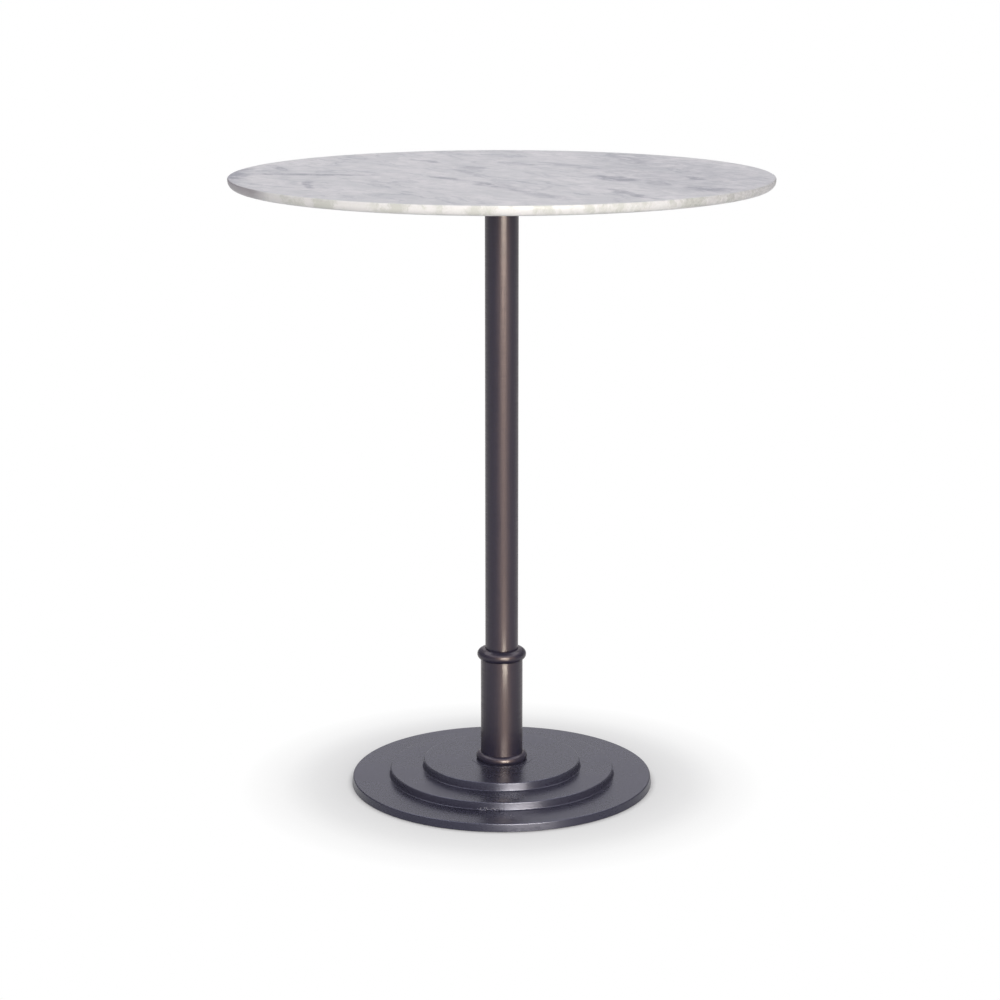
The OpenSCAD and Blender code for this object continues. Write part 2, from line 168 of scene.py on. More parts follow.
# Noise is 0.5 on average, so the two pushes shift everything by half their sum
SWAY_SHIFT = 0.0425

# Broad clouds, 150 mm long and 90 mm across
clouds = noise(tree, swayed, (0.15, 0.09, 0.1), 8, BEDDING, 0.66)
cloudy = add(tree, "ValToRGB", {0: clouds["Fac"]}, stops=[(0.43, 0.0), (0.66, 1.0)])

# Fine mottling within them, 36 mm long and 20 mm across
streaks = noise(tree, swayed, (0.036, 0.02, 0.03), 6, BEDDING, 0.7)
streaky = add(tree, "ValToRGB", {0: streaks["Fac"]}, stops=[(0.42, 0.0), (0.68, 1.0)])

# Thin wandering veins: where a slow noise passes its middle value it draws a line
vein_noise = noise(tree, swayed, (0.3, 0.085, 0.2), 4, BEDDING, 0.55)
vein_line = add(tree, "Math", {0: vein_noise["Fac"], 1: 0.5}, operation="SUBTRACT")
vein_line = add(tree, "Math", {0: vein_line.outputs[0]}, operation="ABSOLUTE")
veins = add(tree, "ValToRGB", {0: vein_line.outputs[0]}, stops=[(0.0, 1.0), (0.03, 0.0)])
veins = add(tree, "Math", {0: veins.outputs[0], 1: cloudy.outputs[0]}, operation="MULTIPLY")

# %% [markdown]
# The larger veins: where each one lies on the slab, in millimetres from the middle, its
# heading, its length and width, and how strong it is. They follow the swayed coordinates, so
# none of them is straight.

# %% Larger veins
LARGE_VEINS = [
    (-320, 12, -6, 300, 46, 0.75), (-384, 118, -61, 150, 30, 0.75),
    (-452, 20, -86, 360, 90, 1.0), (-307, -150, -84, 180, 22, 0.95),
    (-90, -60, -52, 150, 34, 0.8), (-25, -165, -66, 190, 40, 0.75),
    (-60, 40, -70, 260, 26, 0.55), (-121, 234, -60, 90, 34, 0.6),
    (-49, 127, -70, 90, 40, 0.75), (28, 198, -50, 110, 44, 0.55),
    (108, 180, -50, 110, 50, 0.55), (179, -59, -60, 150, 90, 1.0),
    (140, 110, -60, 150, 50, 0.5), (230, 274, -70, 260, 70, 0.6),
    (319, -59, -65, 110, 44, 1.0), (203, -286, -67, 230, 40, 0.8),
    (325, -229, -50, 160, 100, 0.8), (15, -210, -73, 250, 40, 0.5),
    (250, -130, -65, 240, 60, 0.5), (60, -300, -60, 260, 60, 0.45),
    (300, 0, -80, 980, 380, 0.33),
]
drawn = None
for east, north, heading, length, width, strength in LARGE_VEINS:
    along = add(tree, "Mapping", {
        "Vector": swayed, "Location": (east * MM + SWAY_SHIFT, north * MM + SWAY_SHIFT, 0),
        "Rotation": (0, 0, radians(heading)),
        "Scale": (length / 2 * MM, width / 2 * MM, 1)}, vector_type="TEXTURE")
    flat = add(tree, "VectorMath", {0: along.outputs[0], 1: (1, 1, 0)}, operation="MULTIPLY")
    reach = add(tree, "VectorMath", {0: flat.outputs[0]}, operation="LENGTH")
    depth = add(tree, "MapRange", {"Value": reach.outputs["Value"], "From Min": 1.0,
                                   "From Max": 0.3, "To Max": strength},
                interpolation_type="SMOOTHSTEP")
    if drawn:
        depth = add(tree, "Math", {0: depth.outputs[0], 1: drawn}, operation="MAXIMUM")
    drawn = depth.outputs[0]
worn = add(tree, "MapRange", {"Value": streaks["Fac"], "From Min": 0.36,
                              "From Max": 0.6, "To Min": 0.35, "To Max": 1.2})
large = add(tree, "Math", {0: drawn, 1: worn.outputs[0]}, operation="MULTIPLY")
print(len(LARGE_VEINS), "large veins placed")

# %% [markdown]
# Colours: a cool white ground, soft grey clouds, grey-violet veins. The sawn and polished rim
# cuts across the bedding, so its patches are shorter, stronger and a little green, with a
# crystalline grain of about two millimetres. Its left end runs through one wide grey vein, and
# towards that end the rim is painted greyer still: painted shade, where it turns away from the
# lamps. Towards its right end the crystals are larger, like coarse sugar.

# %% Marble colours
# The grey of the rim's veins, also laid over its left end as painted shade
RIM_VEIN_AND_SHADE_GREY = "#a8a1a7"
ground = mixed(tree, cloudy.outputs[0], "#e6e4e4", "#cccdce")
ground = mixed(tree, streaky.outputs[0], ground, "#cbcccc")
veined = mixed(tree, veins.outputs[0], ground, "#a9abb0")
veined = mixed(tree, large.outputs[0], veined, "#93949c")

grain = cells(tree, spot, (0.0022,) * 3)
crystal = add(tree, "MapRange", {"Value": grain["Color"], "To Min": 0.965, "To Max": 1.0})
patches = noise(tree, swayed, (0.12, 0.05, 0.12), 7, BEDDING, 0.68)
patchy = add(tree, "ValToRGB", {0: patches["Fac"]}, stops=[(0.47, 0.0), (0.56, 1.0)])
rim = mixed(tree, patchy.outputs[0], "#f2f1ef", "#d9dad3")
rim_veins = add(tree, "Math", {0: large.outputs[0], 1: 0.8}, operation="MULTIPLY")
rim = mixed(tree, rim_veins.outputs[0], rim, RIM_VEIN_AND_SHADE_GREY)
eastward = add(tree, "SeparateXYZ", {0: spot})
# Painted shade: the rim turns greyer towards its left end, where it faces away from the lamps
painted_shade_west_end = add(tree, "MapRange", {"Value": eastward.outputs["X"], "From Min": -0.365,
                                  "From Max": -0.395, "To Max": 0.75})
rim = mixed(tree, painted_shade_west_end.outputs[0], rim, RIM_VEIN_AND_SHADE_GREY)
sugar = cells(tree, swayed, (0.005, 0.005, 0.003))
sugar_share = add(tree, "MapRange", {"Value": eastward.outputs["X"], "From Min": 0.2,
                                     "From Max": 0.29, "To Max": 0.8})
sugar = add(tree, "MapRange", {"Value": sugar["Color"], "To Min": 0.78, "To Max": 1.04})
rim = mixed(tree, sugar_share.outputs[0], rim, sugar.outputs[0], blend_type="MULTIPLY")
upright = add(tree, "SeparateXYZ", {0: add(tree, "NewGeometry").outputs["Normal"]})
on_face = add(tree, "Math", {0: upright.outputs["Z"]}, operation="ABSOLUTE")
face_share = add(tree, "MapRange", {"Value": on_face.outputs[0], "From Min": 0.75,
                                    "From Max": 0.98})
colour = mixed(tree, face_share.outputs[0], rim, veined)
colour = mixed(tree, 1.0, colour, crystal.outputs[0], blend_type="MULTIPLY")
tree.links.new(colour, stone.inputs["Base Color"])
print("marble has", len(tree.nodes), "nodes")

# %% [markdown]
# ## Bronze lacquer
# The steel tubes and turned rings are sprayed with a dark bronze metallic lacquer. A dark
# binder with fine warm flakes gives the eye two things: a nearly black cool body colour, and a
# warm soft streak where a lamp is mirrored. A thin warm clear coat over it sharpens the middle
# of that streak. Drawing and sanding leave faint lines along the tubes and rings round them,
# which are drawn about two millimetres apart, coarser than they are, so that they can be seen
# at all. The flakes lie in soft clouds.

# %% Bronze lacquer on tube
tube_lacquer, tree, shader = new_finish(
    "bronze metallic lacquer on steel", metallic=0.0, roughness=0.48, ior=1.5,
    specular_ior_level=0.37, specular_tint=linear("#ffe6da"), coat_weight=0.3,
    coat_roughness=0.16, coat_tint=linear("#fff0e6"))
spot = add(tree, "TexCoord").outputs["Object"]
flakes = noise(tree, spot, (0.03, 0.03, 0.09), 5)
body = mixed(tree, flakes["Fac"], "#1b1e34", "#23253a")
tree.links.new(body, shader.inputs["Base Color"])
rings = noise(tree, spot, (0.05, 0.05, 0.0022), 3)
lines = noise(tree, spot, (0.0022, 0.0022, 0.09), 2)
both_ways = add(tree, "Math", {0: rings["Fac"], 1: lines["Fac"]}, operation="ADD")
tooth = add(tree, "Bump", {"Height": both_ways.outputs[0], "Strength": 0.5,
                           "Distance": 0.0002})
tree.links.new(tooth.outputs[0], shader.inputs["Normal"])
gloss = add(tree, "MapRange", {"Value": both_ways.outputs[0], "From Min": 0.75,
                               "From Max": 1.25, "To Min": 0.38, "To Max": 0.56})
tree.links.new(gloss.outputs[0], shader.inputs["Roughness"])

# %% [markdown]
# The same lacquer on the sand casting, cooler in its mirror colour. The sand's grain is filled
# and sanded away, so what is left is a soft mottling, faint rings from turning the treads and
# a slow unevenness that makes the mirrored light swim a little. In one place sand stuck in a
# fillet: a crust of grains, on which pale specks are painted as glints of the lamps.

# %% Bronze lacquer on cast iron
cast_lacquer, tree, shader = new_finish(
    "bronze metallic lacquer on cast iron", metallic=0.0, roughness=0.28, ior=1.5,
    specular_tint=linear("#e2e8ff"))
spot = add(tree, "TexCoord").outputs["Object"]
slow = noise(tree, spot, (0.09, 0.09, 0.03), 0.5)
body = mixed(tree, slow["Fac"], "#2f2e3d", "#3c3a48")

# The crust lies in an oval patch: its middle in metres, and 1 over its half sizes
CRUST_AT = (-0.024, -0.1955, 0.0172)
CRUST_SCALES = (37, 300, 420)
crust = add(tree, "VectorMath", {0: spot, 1: CRUST_AT}, operation="SUBTRACT")
crust = add(tree, "VectorMath", {0: crust.outputs[0], 1: CRUST_SCALES}, operation="MULTIPLY")
crust = add(tree, "VectorMath", {0: crust.outputs[0]}, operation="LENGTH")
crust = add(tree, "Math", {0: crust.outputs["Value"], 1: 1.0}, operation="LESS_THAN")
# Pale specks within the crust's patch: painted glints of the lamps on its small grains
glint_cells = cells(tree, spot, (0.0024,) * 3)
painted_glints = add(tree, "MapRange", {"Value": glint_cells["Distance"], "From Min": 0.34, "From Max": 0.24})
painted_glints = add(tree, "Math", {0: painted_glints.outputs[0], 1: crust.outputs[0]}, operation="MULTIPLY")
body = mixed(tree, painted_glints.outputs[0], body, "#b9b7bd")
tree.links.new(body, shader.inputs["Base Color"])

mottle = noise(tree, spot, (0.007, 0.007, 0.003), 2)
from_axis = add(tree, "VectorMath", {0: spot, 1: (1, 1, 0)}, operation="MULTIPLY")
reach = add(tree, "VectorMath", {0: from_axis.outputs[0]}, operation="LENGTH")
turning = add(tree, "TexNoise", {"W": reach.outputs["Value"], "Scale": 140, "Detail": 2},
              noise_dimensions="1D")
gloss = add(tree, "Math", {0: mottle["Fac"], 1: slow["Fac"]}, operation="ADD")
gloss = add(tree, "MapRange", {"Value": gloss.outputs[0], "From Min": 0.75, "From Max": 1.25,
                               "To Min": 0.25, "To Max": 0.31})
tree.links.new(gloss.outputs[0], shader.inputs["Roughness"])
tooth = add(tree, "Bump", {"Height": mottle["Fac"], "Strength": 0.05,
                           "Distance": 0.0001})
turned_rings = add(tree, "Bump", {"Height": turning.outputs["Fac"], "Strength": 0.2,
                                  "Distance": 0.0002, "Normal": tooth.outputs[0]})
swim = add(tree, "Bump", {"Height": slow["Fac"], "Strength": 0.2,
                          "Distance": 0.003, "Normal": turned_rings.outputs[0]})
tree.links.new(swim.outputs[0], shader.inputs["Normal"])

# %% [markdown]
# ## The finishes underneath
# The spider is rough black-enamelled iron, the fasteners bright zinc plate, the inserts turned
# brass, the strips black rubber and the glides moulded nylon. Each gets the wear or grain that
# its making leaves: orange peel, plating bloom, turning rings, a dusty bloom, moulding texture.

# %% Finishes underneath


def grained(name, colours, size_mm, gloss, bump_mm, stretch=(1, 1, 1), **look):
    """A finish of two mixed colours and a grain of one real size, with its bump and gloss."""
    material, tree, shader = new_finish(name, **look)
    spot = add(tree, "TexCoord").outputs["Object"]
    grain = noise(tree, spot, tuple(size_mm * MM * s for s in stretch), 4)["Fac"]
    polish = add(tree, "MapRange", {"Value": grain, "To Min": gloss[0], "To Max": gloss[1]})
    tooth = add(tree, "Bump", {"Height": grain, "Strength": 0.5, "Distance": bump_mm * MM})
    tree.links.new(mixed(tree, grain, *colours), shader.inputs["Base Color"])
    tree.links.new(polish.outputs[0], shader.inputs["Roughness"])
    tree.links.new(tooth.outputs[0], shader.inputs["Normal"])
    return material


iron_enamel = grained("black enamel on cast iron", ("#17171a", "#26262a"), 2.2, (0.42, 0.6), 0.35)
zinc_plate = grained("bright zinc plate", ("#a9adb3", "#c8cbd0"), 6, (0.22, 0.36), 0.02,
                     metallic=1.0)
turned_brass = grained("turned brass", ("#a8854a", "#c9a563"), 1.2, (0.22, 0.34), 0.02,
                       stretch=(4, 4, 0.4), metallic=1.0)
black_rubber = grained("black rubber", ("#161617", "#222223"), 1.5, (0.75, 0.9), 0.1)
black_nylon = grained("moulded black nylon", ("#1b1b1c", "#28282a"), 0.8, (0.45, 0.6), 0.05)
print(len(bpy.data.materials), "materials")

# %% [markdown]
# ## Modelling by hand
# Nearly every piece of this table is round, so the main tool is a lathe: a ring of edges is
# added, then extruded and resized from point to point of a section. Section corners are given
# with the radius of their rounding, as on a workshop drawing. Screw threads, ribs and cut-outs
# come from the same few moves: select in code, extrude, move, copy, fuse.

# %% Modelling helpers


def take(*pieces):
    """Deselects everything, then selects these pieces, the first one active."""
    if bpy.context.object and bpy.context.object.mode != "OBJECT":
        bpy.ops.object.mode_set(mode="OBJECT")
    bpy.ops.object.select_all(action="DESELECT")
    for piece in pieces:
        piece.select_set(True)
    if pieces:
        bpy.context.view_layer.objects.active = pieces[0]


def removed(*pieces):
    """Deletes pieces that were only needed as patterns or tools."""
    take(*pieces)
    bpy.ops.object.delete()


def pick(kind, test):
    """In edit mode, selects the vertices, edges or faces of the active piece that pass."""
    bpy.ops.mesh.select_mode(type=kind)
    bpy.ops.mesh.select_all(action="DESELECT")
    bpy.ops.object.mode_set(mode="OBJECT")
    mesh = bpy.context.object.data
    for item in {"VERT": mesh.vertices, "EDGE": mesh.edges, "FACE": mesh.polygons}[kind]:
        item.select = bool(test(item))
    bpy.ops.object.mode_set(mode="EDIT")


def cut_at(stations):
    """In edit mode, cuts the active piece across at stations along X, in mm."""
    for station in stations:
        bpy.ops.mesh.select_all(action="SELECT")
        bpy.ops.mesh.bisect(plane_co=(station * MM, 0, 0), plane_no=(1, 0, 0))


def named(name):
    """Names the piece that was just added and puts its origin back at the frame's origin."""
    piece = bpy.context.object
    piece.name = piece.data.name = name
    bpy.ops.object.transform_apply(location=True, rotation=True, scale=True)
    return piece


def polar(reach, turn):
    """A spot in plan, given by its reach from the middle and its turn in degrees."""
    return reach * cos(radians(turn)), reach * sin(radians(turn))


def rounded(corners, step=9):
    """The points of a section whose corners are (radius, height, rounding), all in mm."""
    points = []
    for i, (x, z, rounding) in enumerate(corners):
        if rounding == 0:
            points.append((x, z))
            continue
        corner = Vector((x, z))
        back = (Vector(corners[i - 1][:2]) - corner).normalized()
        ahead = (Vector(corners[(i + 1) % len(corners)][:2]) - corner).normalized()
        half = back.angle(ahead) / 2
        centre = corner + (back + ahead).normalized() * rounding / sin(half)
        start = corner + back * rounding / tan(half) - centre
        end = corner + ahead * rounding / tan(half) - centre
        sweep = start.angle(end)
        steps = max(2, ceil(degrees(sweep) / step))
        for k in range(steps + 1):
            share = k / steps
            between = start * sin((1 - share) * sweep) + end * sin(share * sweep)
            point = centre + between / sin(sweep)
            points.append((point.x, point.y))
    return points


def turned(name, section, sides=192):
    """Turns a section round the Z axis. One that comes back to its first point makes a ring,
    and an open one is closed by flat ends."""
    take()
    radius, height = section[0]
    bpy.ops.mesh.primitive_circle_add(vertices=sides, radius=radius * MM,
                                      location=(0, 0, height * MM))
    piece = named(name)
    bpy.ops.object.mode_set(mode="EDIT")
    bpy.ops.mesh.select_all(action="SELECT")
    for next_radius, next_height in section[1:]:
        rise = (0, 0, (next_height - height) * MM)
        bpy.ops.mesh.extrude_region_move(TRANSFORM_OT_translate={"value": rise})
        grow = next_radius / radius
        bpy.ops.transform.resize(value=(grow, grow, 1), center_override=(0, 0, next_height * MM))
        radius, height = next_radius, next_height
    bpy.ops.mesh.select_all(action="SELECT")
    if section[0] == section[-1]:
        bpy.ops.mesh.remove_doubles(threshold=0.002 * MM)
    else:
        bpy.ops.mesh.fill_holes(sides=0)
    bpy.ops.mesh.select_all(action="SELECT")
    bpy.ops.mesh.normals_make_consistent(inside=False)
    bpy.ops.object.mode_set(mode="OBJECT")
    return piece


def bead(middle_r, middle_z, out, up, low_angle, steps):
    """Points of the outer half of a bead, from an angle below its middle almost to its top."""
    turns = [(pi / 2 + low_angle) * k / steps - low_angle for k in range(steps)]
    return [(middle_r + out * cos(a), middle_z + up * sin(a)) for a in turns]


def ring(name, outer, inner, low, high, rounding=0.3, sides=192):
    """A turned ring between two radii, with lightly broken edges."""
    section = rounded([(inner, low, rounding), (outer, low, rounding), (outer, high, rounding),
                       (inner, high, rounding)], step=30)
    return turned(name, section + section[:1], sides)


def block(name, near, far, half_near, half_far, low, high):
    """A block along +X whose half width changes from its near end to its far end, in mm."""
    take()
    bpy.ops.mesh.primitive_cube_add(
        size=1, location=((near + far) / 2 * MM, 0, (low + high) / 2 * MM),
        scale=((far - near) * MM, 2 * half_near * MM, (high - low) * MM))
    piece = named(name)
    bpy.ops.object.mode_set(mode="EDIT")
    pick("VERT", lambda v: v.co.x > (near + far) / 2 * MM)
    bpy.ops.transform.resize(value=(1, half_far / half_near, 1), center_override=(0, 0, 0))
    bpy.ops.object.mode_set(mode="OBJECT")
    return piece


def bevelled(piece, width, segments=2, angle=40):
    """Rounds a piece's sharp edges, as casting and moulding leave them."""
    take(piece)
    bpy.ops.object.modifier_add(type="BEVEL")
    modifier = piece.modifiers[-1]
    modifier.width, modifier.segments, modifier.angle_limit = width * MM, segments, radians(angle)
    bpy.ops.object.modifier_apply(modifier=modifier.name)
    return piece


def combined(piece, tool, operation):
    """Cuts, fuses or crosses a piece with a tool, which is used up."""
    take(piece)
    bpy.ops.object.modifier_add(type="BOOLEAN")
    modifier = piece.modifiers[-1]
    modifier.operation, modifier.object, modifier.solver = operation, tool, "EXACT"
    bpy.ops.object.modifier_apply(modifier=modifier.name)
    removed(tool)
    return piece


def copied(piece, move=(0, 0, 0), turn=0):
    """A copy with its own mesh, moved in mm and turned about the Z axis in degrees."""
    take(piece)
    bpy.ops.object.duplicate()
    twin = bpy.context.object
    twin.location = Vector(move) * MM
    twin.rotation_euler = (0, 0, radians(turn))
    bpy.ops.object.transform_apply(location=True, rotation=True, scale=True)
    return twin


def merged(name, *pieces):
    """Several pieces as one object."""
    take(*pieces)
    if len(pieces) > 1:
        bpy.ops.object.join()
    whole = bpy.context.object
    whole.name = whole.data.name = name
    return whole


def spread(name, piece, spots):
    """Copies of a small piece at several spots, all as one object. The first one is used up."""
    whole = merged(name, *[copied(piece, (x, y, 0)) for x, y in spots])
    removed(piece)
    return whole


def drilled(piece, radius, low, high, spots, sides=40):
    """Drills upright holes of one radius between two heights in mm, at several spots."""
    drill = turned("drill", [(radius, low), (radius, high)], sides)
    return combined(piece, spread("drills", drill, spots), "DIFFERENCE")


# How far a thread stands past its envelope before the cut, in mm, and its depth in pitches
THREAD_PROUD = 0.02
THREAD_DEPTH = 0.61


def threaded(name, envelope, pitch, sides=40):
    """A threaded rod that fills an envelope, which is a turned section of (radius, height).
    A zigzag line as long as the rod is screwed up by one pitch, closed, and crossed with the
    turned envelope, which gives it clean ends."""
    crest = max(radius for radius, _ in envelope) + THREAD_PROUD
    root = crest - THREAD_DEPTH * pitch
    low, high = envelope[0][1], envelope[-1][1]
    turns = ceil((high - low) / pitch) + 3
    take()
    bpy.ops.mesh.primitive_plane_add(size=MM, location=(root * MM, 0, (low - 2 * pitch) * MM))
    rod = named(name)
    bpy.ops.object.mode_set(mode="EDIT")
    bpy.ops.mesh.select_all(action="SELECT")
    bpy.ops.mesh.merge(type="CENTER")
    outline = [(root, 0), (root, 0.2), (crest, 0.5), (crest, 0.7)]
    at = outline[0]
    for turn in range(turns + 1):
        for radius, share in outline:
            step = ((radius - at[0]) * MM, 0, (turn + share - at[1]) * pitch * MM)
            if any(step):
                bpy.ops.mesh.extrude_region_move(TRANSFORM_OT_translate={"value": step})
            at = (radius, turn + share)
            if turn == turns:
                break
    bpy.ops.object.mode_set(mode="OBJECT")
    bpy.ops.object.modifier_add(type="SCREW")
    modifier = rod.modifiers[-1]
    modifier.screw_offset = pitch * MM
    modifier.steps = modifier.render_steps = sides
    bpy.ops.object.modifier_apply(modifier=modifier.name)
    bpy.ops.object.mode_set(mode="EDIT")
    bpy.ops.mesh.select_all(action="SELECT")
    bpy.ops.mesh.remove_doubles(threshold=0.01 * MM)
    bpy.ops.mesh.fill_holes(sides=0)
    bpy.ops.mesh.select_all(action="SELECT")
    bpy.ops.mesh.normals_make_consistent(inside=False)
    bpy.ops.object.mode_set(mode="OBJECT")
    return combined(rod, turned("envelope", envelope, 64), "INTERSECT")


def fitted(piece, material, body, slot, *nodes, smooth=32):
    """Finishes a piece: smooth shading, its material, its body and the nodes it stands for."""
    take(piece)
    bpy.ops.object.shade_smooth_by_angle(angle=radians(smooth))
    bpy.ops.object.modifier_add(type="WEIGHTED_NORMAL")
    modifier = piece.modifiers[-1]
    modifier.keep_sharp, modifier.weight = True, 100
    bpy.ops.object.modifier_apply(modifier=modifier.name)
    piece.data.materials.clear()
    piece.data.materials.append(material)
    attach(piece, body)
    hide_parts(*nodes)
    low, high = Vector(piece.bound_box[0]) / MM, Vector(piece.bound_box[6]) / MM
    print(f"{piece.name}: {len(piece.data.polygons)} faces, z {low.z:.1f} to {high.z:.1f} mm,",
          f"{high.x - low.x:.1f} mm wide")


def levels(node):
    """The lowest and highest corner of a CAD node in mm."""
    low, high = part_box(node)
    return low / MM, high / MM


# %% [markdown]
# ## The slab
# Seventeen millimetres of marble, 914.4 mm across. The polisher breaks the upper edge with a
# light round and draws the underside back in a much larger one, which makes the slab look thin.
# A bevelled cylinder would do, but the lathe gives each round its own real radius. Eight blind
# holes underneath take the inserts.

# %% Slab
slab_low, slab_high = levels("marble_top")
SLAB_R = 457.2
UNDER_ROUND = 13
UPPER_ROUND = 2.5
FLAT_R = 40  # where the lathe starts and ends, on the two flat faces
slab = turned("slab", rounded([
    (FLAT_R, slab_low.z, 0), (SLAB_R, slab_low.z, UNDER_ROUND),
    (SLAB_R, slab_high.z, UPPER_ROUND), (FLAT_R, slab_high.z, 0)], step=7), sides=384)

ARM_COUNT = 4
DIAGONAL = 45
SCREW_REACHES = (118, 235)
screw_spots = [polar(reach, DIAGONAL + 90 * arm)
               for arm in range(ARM_COUNT) for reach in SCREW_REACHES]
INSERT_HOLE_R = 4.8
INSERT_HOLE_DEPTH = 10.5
drilled(slab, INSERT_HOLE_R, slab_low.z - 1, slab_low.z + INSERT_HOLE_DEPTH, screw_spots, 48)
fitted(slab, marble, "table", "marble", "marble_top")

# %% [markdown]
# ## Column, sleeve and rings
# Two plain tubes and two turned rings. The collar is a flattened bead that closes the gap
# between column and sleeve: half an oval, wider than it is high, which keeps the mirrored lamp
# small and low on it. The foot ring is a smaller round bead. All four are turned, with 192
# sides so that the mirrored lamp stays straight.

# %% Column and sleeve
COLUMN_R = 28.575
COLUMN_WALL = 2.1
SLEEVE_R = 36.5
SLEEVE_WALL = 3
FIT = 0.2
column_low, column_high = levels("column_tube")
sleeve_low, sleeve_high = levels("sleeve_tube")
column = ring("column", COLUMN_R, COLUMN_R - COLUMN_WALL, column_low.z, column_high.z)
fitted(column, tube_lacquer, "table", "bronze_tube", "column_tube")
sleeve = ring("sleeve", SLEEVE_R, SLEEVE_R - SLEEVE_WALL, sleeve_low.z, sleeve_high.z)
fitted(sleeve, tube_lacquer, "table", "bronze_tube", "sleeve_tube")

# %% Collar
BEAD_OUT = 13.9
BEAD_HALF_H = 10.9
REGISTER = 7
collar_bore = COLUMN_R + FIT
collar_seat = sleeve_high.z
seat_angle = acos((SLEEVE_R - collar_bore) / BEAD_OUT)
bead_middle = collar_seat + BEAD_HALF_H * sin(seat_angle)
collar_bead = bead(collar_bore, bead_middle, BEAD_OUT, BEAD_HALF_H, seat_angle, 36)
collar_bead.append((collar_bore, bead_middle + BEAD_HALF_H))
register_r = SLEEVE_R - SLEEVE_WALL - FIT
section = collar_bead + [(collar_bore, collar_seat - REGISTER),
                         (register_r, collar_seat - REGISTER), (register_r, collar_seat)]
collar = turned("collar", section + section[:1])
fitted(collar, tube_lacquer, "table", "bronze_tube", "collar_ring")

# %% Foot ring
FOOT_BEAD_R = 7.7
FOOT_BEAD_MID = 4.4
foot_low, foot_high = levels("foot_ring")
foot_bore = SLEEVE_R + FIT
low_angle = asin(FOOT_BEAD_MID / FOOT_BEAD_R)
foot_bead = bead(foot_bore, foot_low.z + FOOT_BEAD_MID, FOOT_BEAD_R, FOOT_BEAD_R, low_angle, 32)
section = [(foot_bore, foot_low.z)] + foot_bead + [(foot_bore, foot_high.z)]
foot = turned("foot", section + section[:1])
fitted(foot, tube_lacquer, "table", "bronze_tube", "foot_ring")

# %% [markdown]
# ## The base
# A sand casting in three steps. Its walls lean in by seven degrees so that the pattern leaves
# the sand, every outer edge is rounded and every inner corner has a fillet, which is what draws
# the thin light line at the foot of each wall. A seat is machined a little proud of the upper
# tread for the foot ring. Underneath it is hollow, with a middle hub, eight ribs and four
# bosses. The shell is turned in one go, outside and inside, then the stiffeners are fused to
# it and the holes drilled.

# %% Base shell
FLOOR_GAP = 1
TREADS = (15, 28.5, 42.6)
SEAT_TOP = 43
SEAT_R = 53.5
FOOT_RADII = (263.35, 197.2, 138.7)
DRAFT = tan(radians(7))
EDGE = 2.2
FILLET = 1.6
RIM_FOOT = 0.6
INSIDE = 1.5
SHELL = 5.5
HUB_LOW = 20
HUB_ROOT_R = 36.5
HUB_FOOT_R = 34
ROD_HOLE_R = 6.6


def wall(foot_r, foot_z, z):
    """Radius at height z of a wall that leans in from foot_r at foot_z."""
    return foot_r - (z - foot_z) * DRAFT


r1, r2, r3 = FOOT_RADII
t1, t2, t3 = TREADS
register_in, register_out = COLUMN_R + FIT, SLEEVE_R - SLEEVE_WALL - FIT
c1, c2, c3 = t1 - SHELL, t2 - SHELL, t3 - SHELL
s1, s2, s3 = r1 - SHELL, r2 - SHELL, r3 - SHELL
section = rounded([
    (ROD_HOLE_R, SEAT_TOP, 0),
    (register_in, SEAT_TOP, 0), (register_in, SEAT_TOP + REGISTER, 0),
    (register_out, SEAT_TOP + REGISTER, 0), (register_out, SEAT_TOP, 0),
    (SEAT_R, SEAT_TOP, 0.2), (SEAT_R + 0.2, t3, 0),
    (wall(r3, t2, t3), t3, EDGE), (r3, t2, FILLET),
    (wall(r2, t1, t2), t2, EDGE), (r2, t1, FILLET),
    (wall(r1, FLOOR_GAP, t1), t1, EDGE), (r1, FLOOR_GAP, RIM_FOOT), (s1, FLOOR_GAP, RIM_FOOT),
    (wall(s1, FLOOR_GAP, c1), c1, INSIDE), (wall(s2, t1, c1), c1, INSIDE),
    (wall(s2, t1, c2), c2, INSIDE), (wall(s3, t2, c2), c2, INSIDE),
    (wall(s3, t2, c3), c3, INSIDE), (HUB_ROOT_R, c3, INSIDE),
    (HUB_FOOT_R, HUB_LOW, 0.5), (ROD_HOLE_R, HUB_LOW, 0)], step=11)
base = turned("base", section + section[:1], sides=320)

# %% [markdown]
# A rib starts as a box. Its lower edge is thinner than its root, for draft, and slopes down
# from the hub to the rim. One rib of each kind is made along +X and copied round. Ribs and
# bosses are sunk a little into the shell, so that the fuse finds solid iron everywhere.

# %% Ribs and bosses
RIB_T = 5
RIB_START = 30
RIB_DRAFT = radians(3.5)
HUB_OUT = 36
SINK = 3
BOSS_LOW = 5.6
BOSS_R = 12
GLIDE_REACH = 232


def rib(name, reach, low):
    """A drafted rib along +X from the hub to a reach, with its lower edge at low."""
    piece = block(name, RIB_START, reach, RIB_T / 2, RIB_T / 2, low, t3 - SINK)
    bpy.ops.object.mode_set(mode="EDIT")
    cut_at([x for x in (HUB_OUT, s3, s2, s1) if RIB_START < x < reach])
    bpy.ops.object.mode_set(mode="OBJECT")
    ceilings = [(s3 - 2, t3 - SINK), (s2 - 2, t2 - SINK), (reach + 1, t1 - SINK)]
    for vertex in piece.data.vertices:
        x, z = vertex.co.x / MM, vertex.co.z / MM
        if z < low + 1:
            slope = min(1, max(0, (x - HUB_OUT) / (s3 - HUB_OUT)))
            vertex.co.z = (HUB_LOW + 1 + slope * (low - HUB_LOW - 1)) * MM
        else:
            vertex.co.z = next(c for edge, c in ceilings if x <= edge) * MM
            vertex.co.y *= 1 + 2 * (vertex.co.z / MM - low) * tan(RIB_DRAFT) / RIB_T
    return piece


